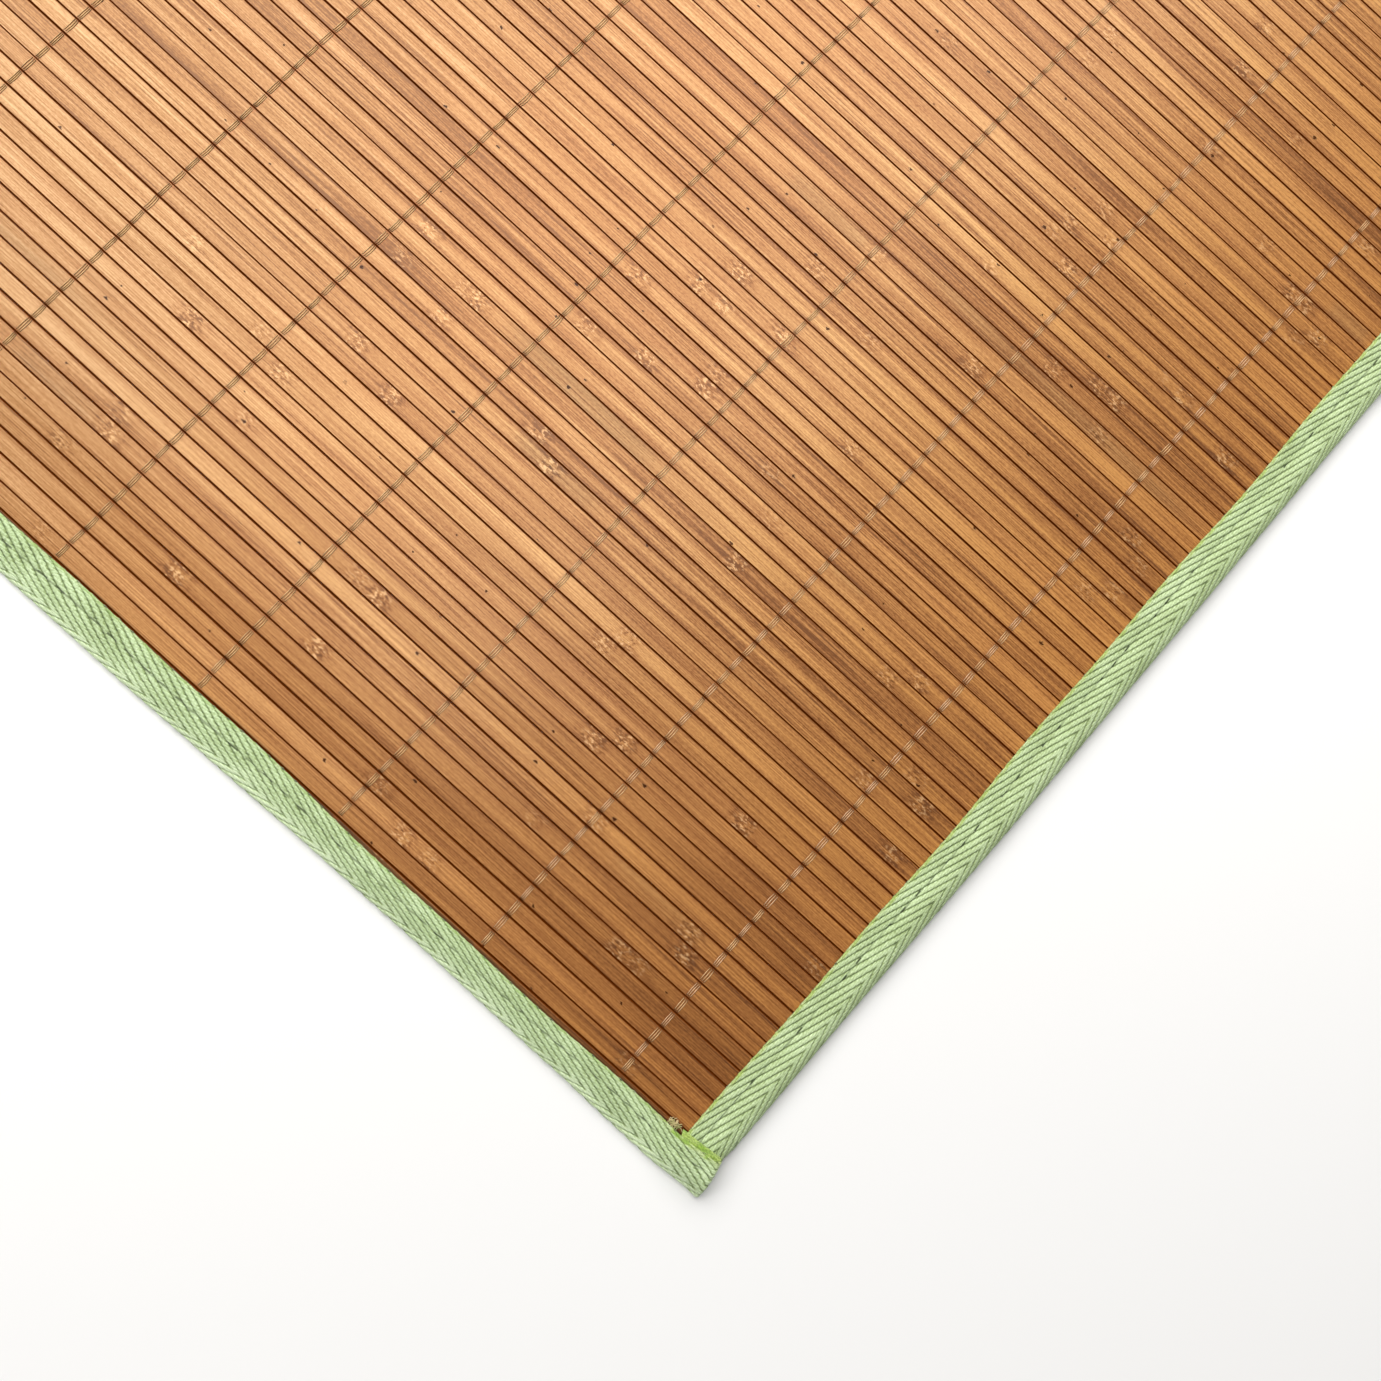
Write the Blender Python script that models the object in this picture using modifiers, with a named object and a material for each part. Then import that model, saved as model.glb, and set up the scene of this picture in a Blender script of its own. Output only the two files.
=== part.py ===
"""Bamboo slat rug: slats side by side, warp threads across them, and four folded binding tapes.

The rug lies flat on the XY plane. The slats run along X and follow one another along Y. The origin is the
middle of the rug at the height of the floor. Metres, +Z up.
"""
import math
import random

import bpy

# Overall size of the rug
RUG_X = 0.400            # along the slats
RUG_Y = 0.600            # across the slats

# Slats
SLAT_COUNT = 141
SLAT_THICK = 0.0015
SLAT_WIDTH_SPREAD = 0.05  # widths differ by up to this share
SLAT_DROP = 0.00012       # the lowest slat face lies this far under the highest
SLAT_SEED = 13882
GROOVE_TOP = 0.0007       # depth of the gap line between two slats, seen from above
GROOVE_UNDER = 0.0004
SHOULDER_IN = 0.00022     # where the rounded edge of a slat starts and ends
SHOULDER_DOWN = 0.00014
CROWN_IN = 0.0007
UNDER_IN = 0.00035

# Binding tape
SHEET = 0.0010            # thickness of the tape
GAP = 0.0003              # clearance between neighbouring pieces
TAPE_TOP = 0.0100         # width of the leaf that lies on the slats
TAPE_UNDER = 0.0113       # width of the leaf under them, a little wider so that the seam catches it
EDGE_WAVE = 0.0004        # how far the inner edge strays from straight
EDGE_WAVE_SLOW = 0.118    # lengths of the two waves that it strays in
EDGE_WAVE_QUICK = 0.053
FOLD_SLACK = 0.0004       # how far the outer fold stands off at its loosest
FOLD_WAVE = 0.210         # length of the wave in which it does
LAP_RAMP = 0.007          # length over which an end tape climbs onto a side tape
STATION_STEP = 0.0125     # spacing of the sections along a tape
FOLD_STEPS = 8            # straight steps round the outer fold
RAMP_STEPS = 4
END_HOLLOW = 0.00165      # an end tape's fold is empty this far past its outermost slat
UNDER_LEAF_PHASE = 1.0    # keeps the under leaf's edge from running parallel to the upper one's
SMOOTH_ANGLE = 50         # degrees; sharper edges than this stay sharp

# Warp threads
THREAD_LINES = 9
THREAD_PITCH = 0.0403
THREAD_MARGIN = 0.0298    # from the rug's edge at +X to the first line
THREAD_WIDE = 0.00085
THREAD_HIGH = 0.00035
THREAD_POINTS = 8

# Heights that follow from the sizes above
SLAT_Z = SHEET + GAP
SLAT_TOP = SLAT_Z + SLAT_THICK
TAPE_Z = SLAT_TOP + GAP + SHEET
FOLD_R = TAPE_Z / 2
LAP_Z = TAPE_Z + GAP + SHEET

# Plan sizes that follow from the sizes above
PANEL_X = RUG_X / 2 - FOLD_SLACK - FOLD_R
PANEL_Y = RUG_Y / 2 - FOLD_SLACK - FOLD_R - END_HOLLOW
LAP_FULL = RUG_X / 2 - TAPE_TOP - EDGE_WAVE - 2 * GAP
THREAD_TOP_Y = RUG_Y / 2 - TAPE_TOP - EDGE_WAVE - GAP
THREAD_UNDER_Y = RUG_Y / 2 - TAPE_UNDER - EDGE_WAVE - GAP


def clear_scene():
    for thing in list(bpy.data.objects):
        bpy.data.objects.remove(thing, do_unlink=True)


def new_collection(name):
    group = bpy.data.collections.new(name)
    bpy.context.scene.collection.children.link(group)
    return group


def plain_material(name, colour, roughness):
    material = bpy.data.materials.new(name)
    material.use_nodes = True
    shader = material.node_tree.nodes["Principled BSDF"]
    shader.inputs["Base Color"].default_value = (*colour, 1.0)
    shader.inputs["Roughness"].default_value = roughness
    shader.inputs["Metallic"].default_value = 0.0
    return material


def bamboo_material():
    return plain_material("caramel bamboo", (0.46, 0.24, 0.09), 0.45)


def tape_material(name):
    return plain_material(name, (0.56, 0.74, 0.44), 0.9)


def thread_material(name):
    return plain_material(name, (0.58, 0.42, 0.26), 0.85)


def outline_object(name, points, half_depth, group, material):
    """A flat closed outline, extruded by half_depth to both sides of its plane."""
    curve = bpy.data.curves.new(name, "CURVE")
    curve.dimensions = "2D"
    curve.fill_mode = "BOTH"
    curve.extrude = half_depth
    spline = curve.splines.new("POLY")
    spline.points.add(len(points) - 1)
    for target, (u, v) in zip(spline.points, points):
        target.co = (u, v, 0.0, 1.0)
    spline.use_cyclic_u = True
    curve.materials.append(material)
    thing = bpy.data.objects.new(name, curve)
    group.objects.link(thing)
    return thing


def slat_edges():
    """Y of every edge between slats, from the first slat's outer edge to the last one's."""
    rng = random.Random(SLAT_SEED)
    widths = [1 + rng.uniform(-SLAT_WIDTH_SPREAD, SLAT_WIDTH_SPREAD) for _ in range(SLAT_COUNT)]
    scale = 2 * PANEL_Y / sum(widths)
    edges = [-PANEL_Y]
    for width in widths:
        edges.append(edges[-1] + width * scale)
    return edges


def slat_drops():
    rng = random.Random(SLAT_SEED + 1)
    return [rng.uniform(0, SLAT_DROP) for _ in range(SLAT_COUNT)]


def panel_outline():
    """Section of the panel across its slats: rounded tops with a groove at each side."""
    edges = slat_edges()
    drops = slat_drops()
    top = []
    under = []
    for low, high, drop in zip(edges, edges[1:], drops):
        face = SLAT_TOP - drop
        top.append((low, SLAT_TOP - GROOVE_TOP))
        top.append((low + SHOULDER_IN, face - SHOULDER_DOWN))
        top.append((low + CROWN_IN, face))
        top.append((high - CROWN_IN, face))
        top.append((high - SHOULDER_IN, face - SHOULDER_DOWN))
        under.append((low, SLAT_Z + GROOVE_UNDER))
        under.append((low + UNDER_IN, SLAT_Z))
        under.append((high - UNDER_IN, SLAT_Z))
    top.append((edges[-1], SLAT_TOP - GROOVE_TOP))
    under.append((edges[-1], SLAT_Z + GROOVE_UNDER))
    return under + top[::-1]


def build_panel(group):
    panel = outline_object("slat_panel", panel_outline(), PANEL_X, group, bamboo_material())
    panel.rotation_euler = (math.radians(90), 0.0, math.radians(90))
    return panel


def thread_outline():
    """Section of a pair of threads pressed flat on the slats."""
    points = []
    for step in range(THREAD_POINTS):
        turn = 2 * math.pi * (step + 0.5) / THREAD_POINTS
        points.append((THREAD_WIDE / 2 * math.cos(turn), THREAD_HIGH / 2 * math.sin(turn)))
    return points


def build_thread(name, x, z, half_length, group):
    thread = outline_object(name, thread_outline(), half_length, group, thread_material(name + " cotton"))
    thread.rotation_euler = (math.radians(90), 0.0, 0.0)
    thread.location = (x, 0.0, z)
    return thread


def build_threads(group):
    over = SLAT_TOP + GAP + THREAD_HIGH / 2
    below = SLAT_Z - GAP - THREAD_HIGH / 2
    for line in range(THREAD_LINES):
        x = RUG_X / 2 - THREAD_MARGIN - line * THREAD_PITCH
        build_thread(f"thread_top_{line + 1}", x, over, THREAD_TOP_Y, group)
        build_thread(f"thread_under_{line + 1}", x, below, THREAD_UNDER_Y, group)


def edge_wave(s, phase):
    """How far the inner edge of a tape strays at the distance s along it."""
    slow = math.sin(2 * math.pi * s / EDGE_WAVE_SLOW + phase)
    quick = math.sin(2 * math.pi * s / EDGE_WAVE_QUICK + 2 * phase)
    return EDGE_WAVE * (slow + quick) / 2


def fold_stand_off(s, phase):
    """How far the outer fold stands off its tightest line, from 0 to FOLD_SLACK."""
    return FOLD_SLACK * (1 + math.sin(2 * math.pi * s / FOLD_WAVE + phase)) / 2


def smooth_step(value):
    value = min(max(value, 0.0), 1.0)
    return value * value * (3 - 2 * value)


def lap_height(s):
    """Height of an end tape's upper leaf, which climbs onto the side tapes near both of its ends."""
    climb = smooth_step((abs(s) - LAP_FULL + LAP_RAMP) / LAP_RAMP)
    return TAPE_Z + (LAP_Z - TAPE_Z) * climb


def tape_section(s, reach, top_z, phase):
    """Outer face of a folded tape at s: upper leaf, fold, lower leaf, as (distance out, z)."""
    out = reach - FOLD_SLACK + fold_stand_off(s, phase)
    centre = out - FOLD_R
    points = [(reach - TAPE_TOP + edge_wave(s, phase), top_z)]
    for step in range(FOLD_STEPS + 1):
        turn = math.pi * (0.5 - step / FOLD_STEPS)
        rise = top_z - FOLD_R if turn > 0 else FOLD_R
        points.append((centre + FOLD_R * math.cos(turn), FOLD_R + rise * math.sin(turn)))
    points.append((reach - TAPE_UNDER + edge_wave(s, phase + UNDER_LEAF_PHASE), 0.0))
    return points


def tape_stations(half_length, lapped):
    """Distances along a tape, closer together where an end tape climbs."""
    steps = math.ceil(2 * half_length / STATION_STEP)
    stations = [-half_length + 2 * half_length * i / steps for i in range(steps + 1)]
    if lapped:
        ramp = [LAP_FULL - LAP_RAMP + LAP_RAMP * i / RAMP_STEPS for i in range(RAMP_STEPS + 1)]
        far = [s for s in stations if abs(s) < ramp[0] or abs(s) > ramp[-1]]
        stations = sorted(far + ramp + [-s for s in ramp])
    return stations


def loft(name, sections):
    """An open surface through sections that all have the same number of points."""
    count = len(sections[0])
    points = [point for section in sections for point in section]
    faces = []
    for row in range(len(sections) - 1):
        for column in range(count - 1):
            first = row * count + column
            faces.append((first, first + 1, first + count + 1, first + count))
    mesh = bpy.data.meshes.new(name)
    mesh.from_pydata(points, [], faces)
    mesh.update()
    return mesh


def build_tape(name, reach, half_length, turn, phase, lapped, group):
    """A tape along its own Y axis at its own +X side, turned about Z to its side of the rug."""
    sections = []
    for s in tape_stations(half_length, lapped):
        top_z = lap_height(s) if lapped else TAPE_Z
        sections.append([(out, s, z) for out, z in tape_section(s, reach, top_z, phase)])
    mesh = loft(name, sections)
    mesh.materials.append(tape_material(name + " cotton"))
    mesh.shade_smooth()
    mesh.set_sharp_from_angle(angle=math.radians(SMOOTH_ANGLE))
    tape = bpy.data.objects.new(name, mesh)
    group.objects.link(tape)
    tape.rotation_euler = (0.0, 0.0, math.radians(turn))
    wall = tape.modifiers.new("Sheet", "SOLIDIFY")
    wall.thickness = SHEET
    wall.offset = -1.0
    wall.use_even_offset = True
    return tape


def box_cutter(name, low, high, group):
    bpy.ops.mesh.primitive_cube_add(size=1.0)
    cutter = bpy.context.object
    cutter.name = name
    cutter.location = [(a + b) / 2 for a, b in zip(low, high)]
    cutter.scale = [b - a for a, b in zip(low, high)]
    for owner in list(cutter.users_collection):
        owner.objects.unlink(cutter)
    group.objects.link(cutter)
    cutter.hide_render = True
    cutter.display_type = "WIRE"
    return cutter


def corner_cutter(name, side, end, group):
    """A box over the under leaf of a side tape, where an end tape's under leaf takes its place.

    side and end are -1 or 1: the rug's edge along X and along Y.
    """
    x_range = sorted((side * (RUG_X / 2 - 2 * TAPE_UNDER), side * (RUG_X / 2 + SHEET)))
    y_range = sorted((end * (RUG_Y / 2 - TAPE_UNDER - EDGE_WAVE - GAP), end * RUG_Y / 2))
    low = (x_range[0], y_range[0], -SHEET)
    high = (x_range[1], y_range[1], SLAT_Z)
    return box_cutter(name, low, high, group)


def trim(tape, cutter):
    cut = tape.modifiers.new("Trim " + cutter.name, "BOOLEAN")
    cut.operation = "DIFFERENCE"
    cut.solver = "EXACT"
    cut.object = cutter


def build_side_tapes(group, cutters):
    """Tapes round the slats' ends. Their under leaves stop at the end tapes, so that the rug lies flat."""
    for name, side, turn, phase in (("side_tape_right", 1, 0, 0.4), ("side_tape_left", -1, 180, 2.9)):
        tape = build_tape(name, RUG_X / 2, PANEL_Y, turn, phase, False, group)
        for corner, end in (("near", -1), ("far", 1)):
            trim(tape, corner_cutter(f"{name}_{corner}_corner", side, end, cutters))


def build_end_tapes(group):
    """Tapes round the first and last slats. Their upper leaves lap over the side tapes."""
    for name, turn, phase in (("end_tape_near", -90, 1.3), ("end_tape_far", 90, 4.6)):
        build_tape(name, RUG_Y / 2, RUG_X / 2, turn, phase, True, group)


def main():
    clear_scene()
    rug = new_collection("bamboo rug")
    cutters = new_collection("cutters")
    build_panel(rug)
    build_threads(rug)
    build_side_tapes(rug, cutters)
    build_end_tapes(rug)


main()
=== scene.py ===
"""Looks of the bamboo rug: parted slats, warp threads, herringbone binding tape, floor, light and camera.

Metres, +Z up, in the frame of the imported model. The rug's middle is the origin, its underside is z = 0, the
slats run along X, and the corner that the picture shows is the one at +X and -Y.
"""
import math
import random
from functools import partialmethod

import bmesh
import bpy
import numpy as np
from mathutils import Matrix, Vector

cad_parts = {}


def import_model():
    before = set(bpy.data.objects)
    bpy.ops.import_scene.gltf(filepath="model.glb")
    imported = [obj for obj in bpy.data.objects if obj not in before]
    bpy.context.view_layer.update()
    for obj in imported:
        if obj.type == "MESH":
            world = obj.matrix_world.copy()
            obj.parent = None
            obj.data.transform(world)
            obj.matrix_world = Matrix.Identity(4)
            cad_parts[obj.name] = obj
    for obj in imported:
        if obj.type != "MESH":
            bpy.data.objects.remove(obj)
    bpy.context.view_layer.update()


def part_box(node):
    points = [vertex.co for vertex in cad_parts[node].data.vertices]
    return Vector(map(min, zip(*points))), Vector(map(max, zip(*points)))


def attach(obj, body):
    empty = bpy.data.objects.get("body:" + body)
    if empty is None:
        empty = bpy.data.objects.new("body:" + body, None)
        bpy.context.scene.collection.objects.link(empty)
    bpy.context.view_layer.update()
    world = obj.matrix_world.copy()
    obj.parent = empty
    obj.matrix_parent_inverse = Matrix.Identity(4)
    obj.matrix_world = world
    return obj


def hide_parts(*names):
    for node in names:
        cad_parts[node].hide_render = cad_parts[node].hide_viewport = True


MM = 0.001

# Slats. Their count, seed and spread are the model's own, so each one lies on its rib.
SLAT_COUNT = 141
SLAT_SEED = 13882
SLAT_WIDTH_SPREAD = 0.05
SLAT_DROP = 0.12 * MM
SLAT_STATIONS = 27
SLAT_ROLL = 1.1              # degrees that a slat may lean to a side
SLAT_TWIST = 0.35            # degrees that the lean changes along it
GAP_LEAST = 0.04 * MM        # from a slat's upper edge to the line between it and the next
GAP_MOST = 0.12 * MM
GAP_ALONG = 0.03 * MM        # how much that changes along a slat
GAP_UNDER = 0.012 * MM       # the same gap at the slats' lower half
SLAT_CROWN = 0.004 * MM
SLAT_FAN = 0.0095            # slope of the slats next to the near end tape, which fades along +Y
SLAT_FAN_REACH = 60 * MM
SLAT_FAN_FADE = 110 * MM
NODE_SPACING = 0.285         # usual distance between two growth nodes of the bamboo

# Warp threads
THREAD_LINES = 9
THREAD_PITCH = 40.3 * MM
THREAD_MARGIN = 29.8 * MM    # from the rug's edge at +X to the first line
STRANDS = 3                  # filaments side by side where a thread crosses a slat
STRAND_WIDE = 0.118 * MM     # half the width and half the height of one filament
STRAND_HIGH = 0.085 * MM
STRAND_APART = 0.48 * MM     # from the middle filament to the others, on a slat
STRAND_PINCHED = 0.62        # share of that in a gap
STRAND_PLY = 1.3 * MM        # length of one turn of a filament's twist
# How brown a line's threads are, from 0 to 1, and how unlike the two are, from the line at +X on
THREAD_TONES = ((0.36, 0.7), (0.48, 0.5), (0.78, 0.35), (0.95, 0.2))
THREAD_DIP = 0.40 * MM
THREAD_LIFT = 0.10 * MM      # how far a filament's middle stands off a slat's face
THREAD_DRIFT = 0.45 * MM
THREAD_STEP = 0.07 * MM      # how far a line jumps sideways from one slat to the next
THREAD_TWINE = 0.06 * MM     # the two threads of a line cross alternate slats, this far to each side

# Binding tape
TAPE_WIDTH = 22.4 * MM
TAPE_THICK = 0.60 * MM
SIDE_SQUEEZE = 0.98          # share of its width that a side tape keeps across, between its stitches
END_SQUEEZE = 0.86           # the same for an end tape, from its selvage to its seam
END_SQUEEZE_OUTER = 1.0      # and beyond its seam
NEAR_BULGE = (0.5 * MM, 1.1 * MM)  # how far the near end tape spreads to each side, away from the corner
TURN_IN = 8.0 * MM           # length of an end tape's cut end that is folded inside
RIDGE_PITCH = 3.88 * MM      # distance along the tape from ridge to ridge
RIDGE_SLOPE = (2.86, 3.2)    # distance along the tape for each unit across it: side tapes, end tapes
SPINE = 7.3 * MM             # from each selvage to the line where the ridges turn
RIDGE_DEPTH = 0.26 * MM
RIDGE_ROWS = (0.0, 0.13, 0.31, 0.5, 0.69, 0.87)         # phases of the rows of points over one ridge
RIDGE_RELIEF = (-1.0, -0.28, -0.03, 0.0, -0.05, -0.36)  # their heights, as a share of the ridge's depth
YARN = 0.42 * MM             # distance across the tape from yarn to yarn
EDGE_WAVE = 0.4 * MM
EDGE_WAVE_SLOW = 118 * MM
EDGE_WAVE_QUICK = 53 * MM
NEAR_PHASE = 1.3             # where the near end tape's selvage is in those waves
FOLD_SLACK = 0.4 * MM
FOLD_WAVE = 210 * MM
UNDER_TRIM = 12.0 * MM       # from the rug's edge to where a side tape's under leaf stops
# Sections of the folded tapes' middle surface, from the upper selvage round the fold: (out from the
# rug's edge, height) in mm. The first and last points only carry the leaves on.
SIDE_SECTION = (
    (-14.8, 3.13), (-10.3, 3.13), (-8.5, 3.15), (-7.0, 3.13), (-5.4, 3.38), (-3.8, 3.50), (-2.2, 3.20),
    (-0.95, 2.44), (-0.4, 1.65), (-0.65, 0.88), (-1.5, 0.40), (-2.7, 0.33), (-7.2, 0.33), (-14.8, 0.33),
)
END_SECTION = (
    (-11.1, 3.13), (-7.1, 3.13), (-6.0, 3.16), (-5.0, 3.12), (-4.1, 2.94), (-3.0, 2.62), (-1.7, 2.14),
    (-0.5, 1.62), (0.30, 1.22), (0.72, 0.88), (0.80, 0.62), (0.52, 0.40), (-0.3, 0.33), (-2.0, 0.33),
    (-7.0, 0.33), (-11.1, 0.33),
)
# Ends of an end tape in mm, past the rug's edge: at the selvage, at the fold, how far the selvage is drawn
# in over the slats there, and how far the turned-in layer shows beside it
NEAR_ENDS = ((-1.2, -0.3, 0.5, 0.4), (-1.95, 0.1, 1.2, 1.3))
FAR_ENDS = ((-0.7, -0.2, 0.9, 0.8), (-1.5, -0.5, 0.4, 0.3))
LIME_WIDE_FROM = 182 * MM    # distance along an end tape from its middle, where its lime selvage gets wider
TUFT_PLACE = (186.2 * MM, -291.4 * MM)
TUFT_YARNS = 40
TUFT_STATIONS = 6            # points along each of its yarns
TOP_SHARE = 0.42             # share of an end tape's width from its upper selvage to its fold
# Looks of the tapes, each for the side tapes and then for the end tapes
TAPE_LIGHT = (0.555, 0.60)
# The next one is painted shade in the grooves between ridges
TAPE_GROOVE_SHADE = (0.56, 0.62)   # how much darker the grooves between ridges are
LIME_WIDE = (0.42 * MM, 0.80 * MM)         # width of the lime selvage from LIME_WIDE_FROM on, 0.42 mm before
LIME_SHARE = ((0.70, 0.70), (0.45, 0.85))  # strength of the lime before that place and from it on
LIME_STRONG = ((0.46, 0.60, 0.11), (0.30, 0.52, 0.045))
LIME_WEAK = (0.62, 0.71, 0.23)             # this one and the next are the same for all
LIME_DARK = (0.15, 0.23, 0.03)

# Seam along each tape
SEAM_IN = 3.5 * MM           # from the upper selvage
STITCH = 4.9 * MM
SEAM_DEPTH = 0.24 * MM
SEAM_WIDE = 0.45 * MM
SEAM_WANDER = 0.25 * MM
STITCH_REACH = (0.14, 0.24)  # half a stitch's dark hole as a share of the stitch: side tapes, end tapes
STITCH_PICK = ((0.20, 0.60, 0.25, 0.95), (0.10, 0.9, 0.25, 0.80))  # how a random number makes it dark
# Painted shade in the needle holes and along the seam's trough
STITCH_SHADE = (0.045, 0.062, 0.020)

# Light
KEY_PLACE = (-0.90, 0.75, 0.95)
KEY_SIZE = (1.9, 2.1)
KEY_POWER = 55.0
KEY_COLOUR = (1.0, 0.985, 0.965)
SIDE_PLACE = (-0.9, -0.95, 0.9)
SIDE_TARGET = (0.0, -0.2, 0.0)
SIDE_SIZE = (0.5, 0.5)
SIDE_POWER = 4.0
SIDE_COLOUR = (1.0, 0.99, 0.975)
AMBIENT = 0.28
AMBIENT_COLOUR = (0.97, 0.98, 1.0, 1.0)

# Colours from dark to light, each after its place on that scale, as linear red, green and blue
BAMBOO_COLOURS = ((0.0, (0.125, 0.027, 0.002)), (0.30, (0.240, 0.065, 0.005)), (0.55, (0.335, 0.108, 0.014)),
                  (0.80, (0.450, 0.172, 0.029)), (1.0, (0.54, 0.235, 0.055)))
TAPE_COLOURS = ((0.0, (0.110, 0.155, 0.060)), (0.35, (0.285, 0.365, 0.150)), (0.65, (0.475, 0.605, 0.315)),
                (1.0, (0.750, 0.885, 0.570)))
THREAD_PALE = ((0.2, (0.46, 0.25, 0.12)), (0.6, (0.78, 0.48, 0.27)), (1.0, (0.92, 0.70, 0.47)))
THREAD_DULL = ((0.2, (0.46, 0.25, 0.095)), (0.6, (0.76, 0.47, 0.21)), (1.0, (0.92, 0.66, 0.36)))
TUFT_COLOURS = ((0.3, (0.15, 0.25, 0.045)), (0.6, (0.36, 0.34, 0.13)), (1.0, (0.56, 0.45, 0.24)))
FLOOR_COLOUR = (0.86, 0.855, 0.845)
# Factors that the bamboo's colour is multiplied by
REDDER = (1.0, 0.88, 0.95)
YELLOWER = (0.97, 1.03, 0.90)
# Painted sheen: the next one makes the bamboo paler towards -X, where the glare lies
PAINTED_GLARE_CAST = (1.02, 1.28, 3.0)    # from the middle of the rug towards -X
WEATHERED = (0.74, 0.76, 0.86)
# Colours of the bamboo's marks, and of the painted shade on it
FLECK_PALE = (0.66, 0.38, 0.17)
SPOT_BROWN = (0.13, 0.040, 0.012)
SPOT_RIM = (0.045, 0.014, 0.005)
# painted shade on the slats beside the near end tape
PAINTED_TAPE_SHADE = (0.042, 0.013, 0.003)
# painted shade in the gaps between slats and beside the threads
GAP_SHADE_BROWN = (0.240, 0.052, 0.002)
# Painted shade on a filament: at its sides, and where it is down in a gap
THREAD_FLANK_SHADE = (0.13, 0.052, 0.014)
THREAD_GAP_SHADE = (0.035, 0.012, 0.003)

# Sheen of the bamboo: a broad, bamboo-coloured glare
BAMBOO_METAL = (0.62, 0.06)  # of the bamboo's darkest and lightest parts
BAMBOO_IOR = 1.9
BAMBOO_LEVEL = 0.69
BAMBOO_TINT = (1.0, 0.83, 0.47, 1.0)
BAMBOO_ROUGH = (0.52, 0.34)  # of the bamboo's darkest and lightest parts
BAMBOO_COAT = (0.28, 0.24)   # weight and roughness of the thin varnish over it

# Camera, measured from the corner at the height of the slats' faces
CAMERA_FROM_CORNER = (-75.73 * MM, 43.66 * MM, 271.05 * MM)
CAMERA_RIGHT = (0.73606, 0.67056, 0.09256)
CAMERA_UP = (-0.67687, 0.73077, 0.08843)
FOCAL_PX = 1250.0            # focal length in pixels of the square picture
PICTURE_PX = 1381
SENSOR = 36.0

# Marks in the bamboo that the picture shows, at their pixels there: growth nodes with their strength
NODE_MARKS = (
    # x, y, strength
    (190, 320, 1.0), (195, 243, 0.5), (118, 412, 0.7), (108, 433, 0.9), (62, 440, 0.7), (245, 420, 0.5),
    (281, 372, 0.8), (262, 330, 0.5), (388, 398, 0.8), (362, 338, 0.8), (425, 232, 0.8), (403, 257, 0.5),
    (442, 315, 0.6), (462, 290, 0.5), (40, 537, 0.5), (175, 574, 1.0), (378, 598, 1.0), (360, 575, 0.6),
    (480, 297, 0.9), (541, 430, 0.8), (548, 468, 1.0), (592, 322, 0.8), (650, 354, 1.0), (635, 279, 0.9),
    (705, 279, 0.8), (742, 272, 1.0), (786, 335, 1.0), (720, 310, 0.7), (740, 560, 0.9), (775, 468, 0.6),
    (822, 262, 0.7), (880, 252, 0.7), (870, 340, 0.5), (1070, 265, 1.0), (1112, 240, 0.8),
    (1055, 230, 0.5), (992, 265, 0.6), (975, 365, 1.0), (1100, 386, 0.9), (1116, 400, 0.9),
    (1186, 396, 1.0), (1225, 460, 1.0), (1292, 293, 0.9), (1302, 306, 0.9), (1316, 340, 1.0),
    (1296, 335, 0.6), (1366, 250, 0.7), (1160, 385, 0.5), (1088, 590, 0.7), (1110, 597, 0.7),
    (1140, 565, 0.6), (315, 650, 1.0), (380, 783, 0.8), (404, 834, 1.0), (430, 860, 0.6), (530, 825, 0.4),
    (595, 821, 0.9), (602, 645, 0.8), (625, 643, 1.0), (597, 734, 1.0), (626, 738, 1.0), (742, 826, 1.0),
    (858, 785, 0.7), (893, 671, 0.8), (920, 682, 1.0), (926, 801, 1.0), (918, 776, 0.6), (890, 855, 0.8),
    (690, 930, 1.0), (688, 951, 0.9), (622, 946, 1.0), (640, 962, 0.6), (820, 962, 0.6), (626, 1066, 0.6),
)
# Grey-brown weathered stretches of single slats: pixels of their two ends, and strength
SMEAR_MARKS = (
    # x, y, x, y, strength
    (10, 345, 105, 425, 0.9), (690, 480, 985, 765, 1.0), (900, 250, 1210, 540, 0.9),
    (500, 320, 672, 470, 0.8), (512, 425, 605, 512, 0.7), (775, 175, 885, 245, 0.7),
    (205, 480, 290, 565, 0.6), (600, 850, 722, 945, 0.5), (1235, 205, 1295, 290, 0.8),
    (820, 570, 860, 610, 0.6), (1330, 300, 1365, 350, 0.7),
)


def ramp01(value):
    value = np.clip(value, 0.0, 1.0)
    return value * value * (3 - 2 * value)


def waves(s, seed, lengths, share=0.6):
    """A smooth curve from -1 to 1 along s, the sum of a sine for each length, each weaker than the last."""
    rng = random.Random(seed)
    total = np.zeros_like(np.asarray(s, float))
    weight, weights = 1.0, 0.0
    for length in lengths:
        total = total + weight * np.sin(2 * math.pi * (np.asarray(s) / length + rng.random()))
        weights += weight
        weight *= share
    return total / weights


def new_object(name, data):
    thing = bpy.data.objects.new(name, data)
    bpy.context.scene.collection.objects.link(thing)
    return thing


def mesh_object(name, points, faces, fields):
    """A smooth mesh piece. fields are named numbers or triples, one a point, that its material reads."""
    mesh = bpy.data.meshes.new(name)
    mesh.from_pydata([tuple(p) for p in np.asarray(points).tolist()], [], faces)
    mesh.update()
    for key, values in fields.items():
        values = np.asarray(values, np.float32)
        kind, slot = ("FLOAT_VECTOR", "vector") if values.ndim == 2 else ("FLOAT", "value")
        mesh.attributes.new(key, kind, "POINT").data.foreach_set(slot, values.ravel())
    mesh.shade_smooth()
    return new_object(name, mesh)


def grid_faces(rows, columns, first=0, close=False):
    """Quads of a grid of points; close joins its last column to its first."""
    faces = []
    last = columns if close else columns - 1
    for row in range(rows - 1):
        for column in range(last):
            a = first + row * columns + column
            b = first + row * columns + (column + 1) % columns
            faces.append((a, b, b + columns, a + columns))
    return faces


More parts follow.
